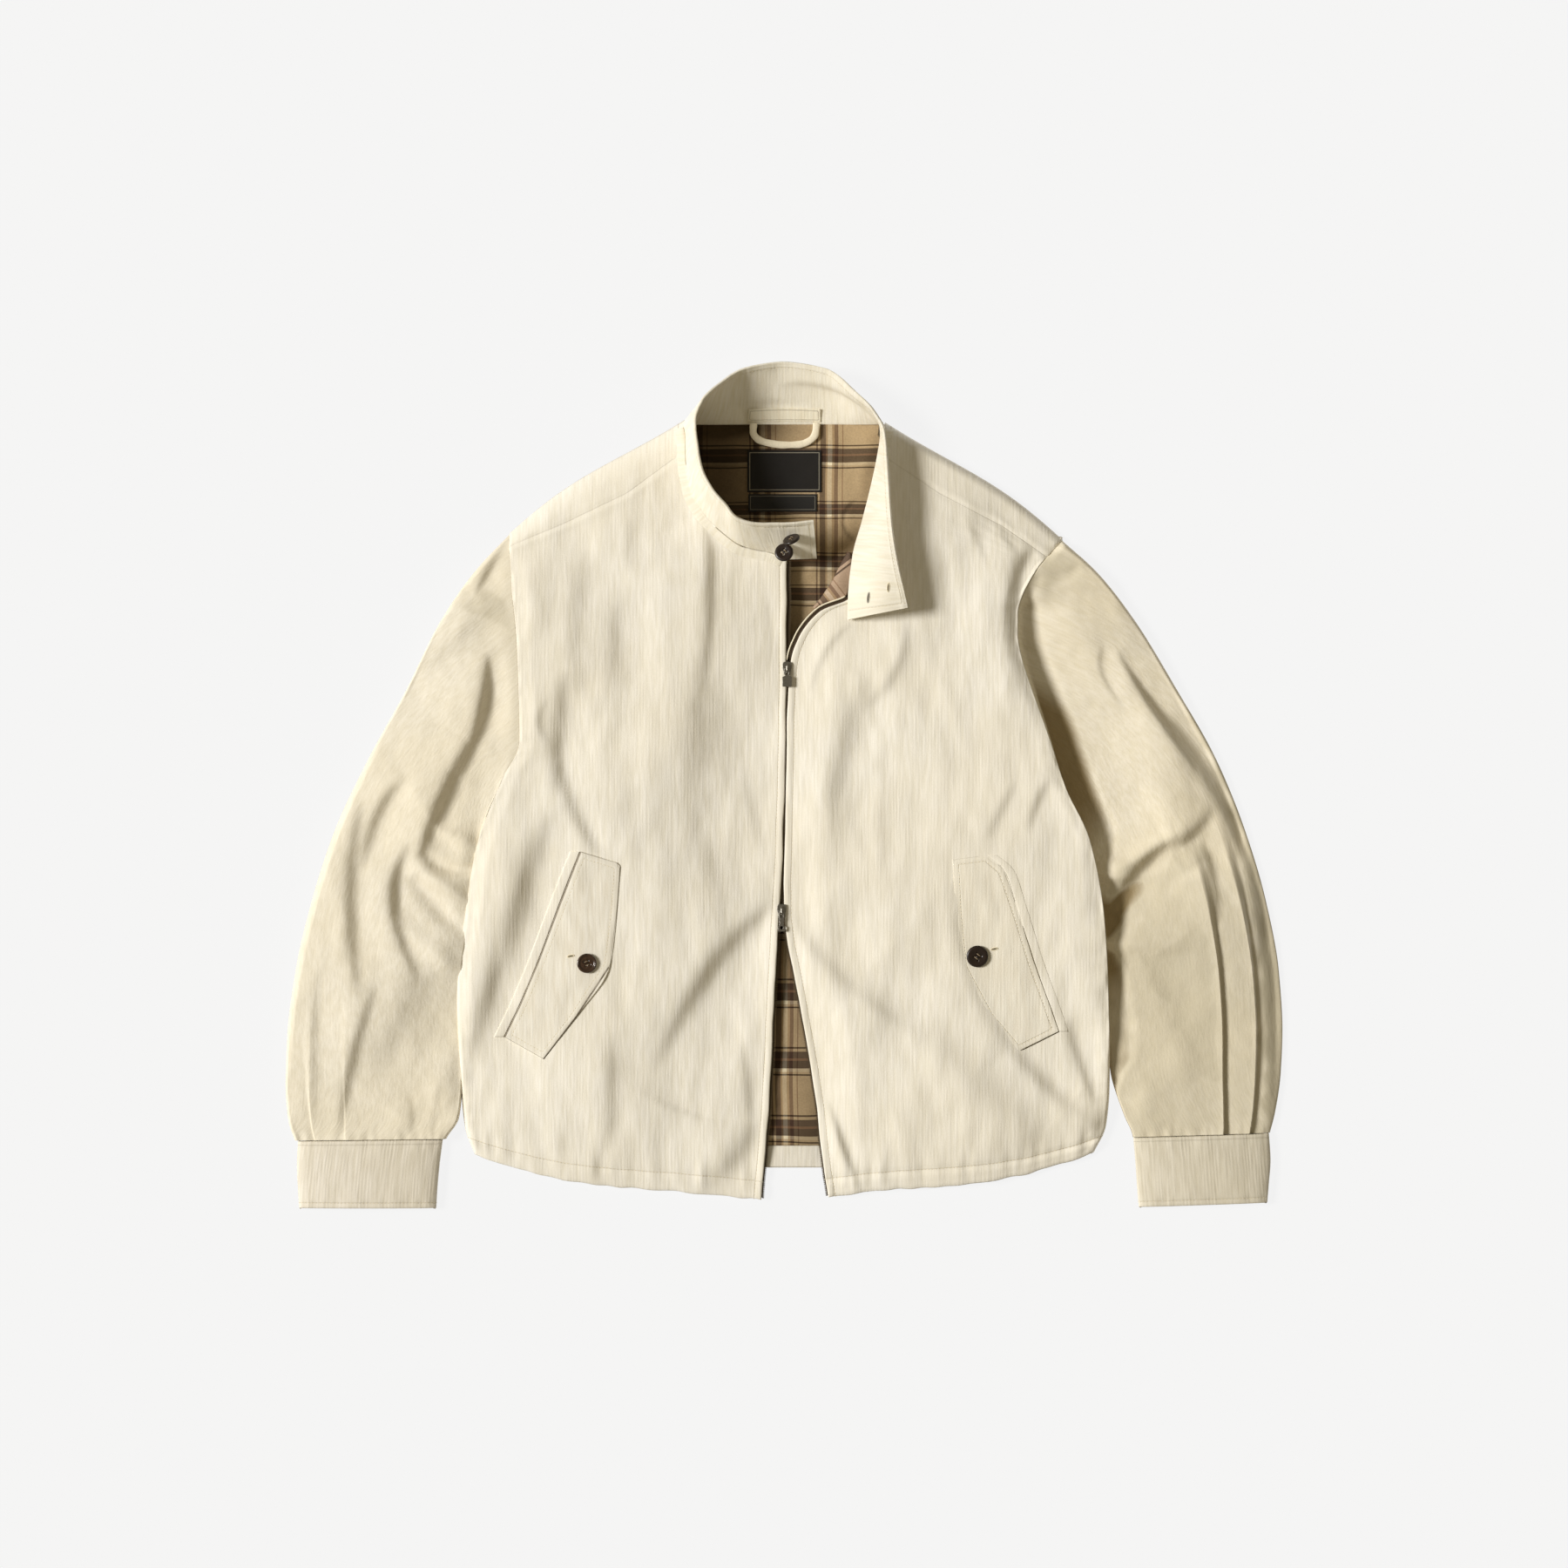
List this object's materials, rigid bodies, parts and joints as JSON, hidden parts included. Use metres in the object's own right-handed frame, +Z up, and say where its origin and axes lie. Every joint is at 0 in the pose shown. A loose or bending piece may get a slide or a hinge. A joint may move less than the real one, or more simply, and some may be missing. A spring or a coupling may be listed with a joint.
{
  "type": "harrington jacket",
  "caption": "Zip-front harrington jacket laid flat on its back, with a stand collar open at the neck, slanted flap pockets, full sleeves pleated into plain cuffs.",
  "frame": {"origin": "on the surface that the jacket lies on, at the middle of its bounding box in plan", "axes": "+Z up from the surface towards the fronts, +Y from the hem to the collar, +X towards the wearer's left sleeve"},
  "size_m": [0.9148, 0.778, 0.0684],
  "materials": {
    "cloth": "cream cotton corduroy with a fine upright cord",
    "lining": "woven cotton lining in a plain tan check",
    "label": "black satin weave, bare",
    "button": "dark brown polished horn-like resin",
    "tape": "dark brown woven zip tape",
    "metal": "dull grey metal"
  },
  "bodies": {
    "jacket": {"back_hem_facing": "cloth", "back_lining": "lining", "back_panel": "cloth", "button_collar_lower": "button", "button_collar_upper": "button", "button_pocket_left": "button", "button_pocket_right": "button", "collar": "cloth", "cuff_left": "cloth", "cuff_right": "cloth", "front_left": "cloth", "front_left_lining": "lining", "front_right": "cloth", "hanger_loop": "cloth", "label": "label", "pocket_flap_left": "cloth", "pocket_flap_right": "cloth", "pocket_welt_left": "cloth", "pocket_welt_right": "cloth", "size_tab": "label", "sleeve_left": "cloth", "sleeve_right": "cloth", "zip_slider_bottom": "metal", "zip_slider_top": "metal", "zip_tape_left": "tape", "zip_tape_left_end": "tape", "zip_tape_right": "tape", "zip_tape_right_end": "tape"},
    "pull_top": {"zip_pull_top": "metal"},
    "pull_bottom": {"zip_pull_bottom": "metal"}
  },
  "joints": [
    {"name": "pull_top_hinge", "type": "hinge", "parent": "jacket", "child": "pull_top", "pos_m": [0.0028, 0.106, 0.02025], "axis": [-1, 0, 0], "range_deg": [0, 160]},
    {"name": "pull_bottom_hinge", "type": "hinge", "parent": "jacket", "child": "pull_bottom", "pos_m": [-0.0022, -0.116, 0.01975], "axis": [-1, 0, 0], "range_deg": [0, 160]}
  ]
}
